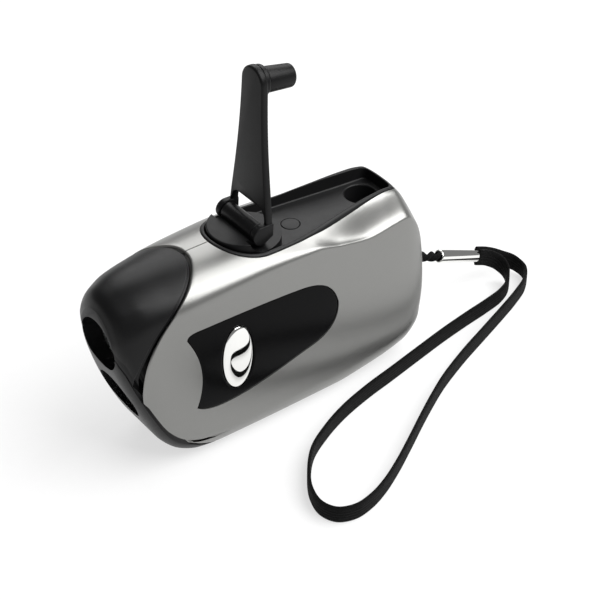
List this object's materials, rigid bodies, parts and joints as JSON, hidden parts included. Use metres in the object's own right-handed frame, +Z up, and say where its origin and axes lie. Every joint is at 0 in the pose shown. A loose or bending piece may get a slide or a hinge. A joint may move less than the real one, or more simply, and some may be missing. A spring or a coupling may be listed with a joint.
{
  "type": "dynamo flashlight",
  "caption": "Hand-cranked torch with stacked lamps, a folding crank that turns a geared generator, an oval switch button and a wrist strap.",
  "frame": {"origin": "centre of the bounding box seen from above, on the flat underside that the torch stands on", "axes": "+X to the flank with the switch button, -Y to the lamps, +Y to the strap, +Z up to the crank"},
  "size_m": [0.0825, 0.1627, 0.1153],
  "materials": {
    "silver": "silver lacquer on plastic",
    "black_satin": "satin black moulding",
    "black_gloss": "glossy black moulding",
    "chrome": "bright plating",
    "mirror": "vacuum-plated cup",
    "clear": "clear moulding",
    "steel": "plain",
    "brass": "plain",
    "white_plastic": "natural acetal",
    "green_board": "solder mask",
    "copper": "enamelled copper winding",
    "magnet": "sintered ferrite",
    "webbing": "black woven"
  },
  "bodies": {
    "housing": {"casing_right": "silver", "casing_left": "silver", "front_bezel": "black_satin", "crank_tray": "black_satin", "tray_plug": "black_satin", "push_switch": "black_satin", "battery_cradle": "black_satin", "side_panel_right": "black_gloss", "side_panel_left": "black_gloss", "strap_ferrule": "chrome", "reflector_upper": "mirror", "reflector_lower": "mirror", "lens_upper": "clear", "lens_lower": "clear", "led_upper": "clear", "led_lower": "clear", "casing_screw_1": "steel", "casing_screw_2": "steel", "casing_screw_3": "steel", "casing_screw_4": "steel", "gear_axle_1": "steel", "gear_axle_2": "steel", "gear_plate_screw_right": "steel", "gear_plate_screw_left": "steel", "stator_core": "steel", "rotor_bracket": "steel", "battery_cell_1": "steel", "battery_cell_2": "steel", "battery_cell_3": "steel", "strap_pin": "steel", "crank_bush": "brass", "gear_plate": "brass", "battery_contact_front": "brass", "battery_contact_rear": "brass", "circuit_board": "green_board", "led_board": "green_board", "coil": "copper", "strap_cord": "webbing", "strap_loop": "webbing"},
    "crank": {"crank_disc": "black_satin", "hinge_pin": "steel", "drive_gear": "white_plastic", "crank_screw": "steel", "crank_washer": "steel"},
    "arm": {"crank_arm": "black_satin", "knob_pin": "steel"},
    "knob": {"crank_knob": "black_satin"},
    "button": {"switch_button": "chrome"},
    "plunger": {"switch_plunger": "white_plastic"},
    "gear_1": {"compound_gear_1": "white_plastic"},
    "gear_2": {"compound_gear_2": "white_plastic"},
    "rotor": {"rotor_pinion": "steel", "rotor_magnet": "magnet"}
  },
  "joints": [
    {"name": "crank_spin", "type": "hinge", "parent": "housing", "child": "crank", "pos_m": [0, -0.0043, 0.0583], "axis": [0, 0, 1], "continuous": true},
    {"name": "arm_fold", "type": "hinge", "parent": "crank", "child": "arm", "pos_m": [0, -0.0046, 0.0658], "axis": [1, 0, 0], "range_deg": [-66, 92]},
    {"name": "knob_spin", "type": "hinge", "parent": "arm", "child": "knob", "pos_m": [0, 0.00173, 0.11023], "axis": [0, 0.9848, -0.1736], "continuous": true},
    {"name": "button_push", "type": "slide", "parent": "housing", "child": "button", "axis": [-1, 0, 0], "range_m": [0, 0.0015], "stiffness_N_per_m": 800, "springref_m": -0.0015},
    {"name": "plunger_push", "type": "slide", "parent": "housing", "child": "plunger", "axis": [-1, 0, 0], "range_m": [0, 0.0015]},
    {"name": "gear_1_spin", "type": "hinge", "parent": "housing", "child": "gear_1", "pos_m": [0, 0.0125, 0.05], "axis": [0, 0, 1], "continuous": true},
    {"name": "gear_2_spin", "type": "hinge", "parent": "housing", "child": "gear_2", "pos_m": [0, 0.0263, 0.047], "axis": [0, 0, 1], "continuous": true},
    {"name": "rotor_spin", "type": "hinge", "parent": "housing", "child": "rotor", "pos_m": [0, 0.0401, 0.04], "axis": [0, 0, 1], "continuous": true}
  ],
  "couplings": [
    {"joint": "gear_1_spin", "follows": "crank_spin", "ratio": -3.2},
    {"joint": "gear_2_spin", "follows": "crank_spin", "ratio": 11.52},
    {"joint": "rotor_spin", "follows": "crank_spin", "ratio": -41.472},
    {"joint": "plunger_push", "follows": "button_push", "ratio": 1}
  ]
}
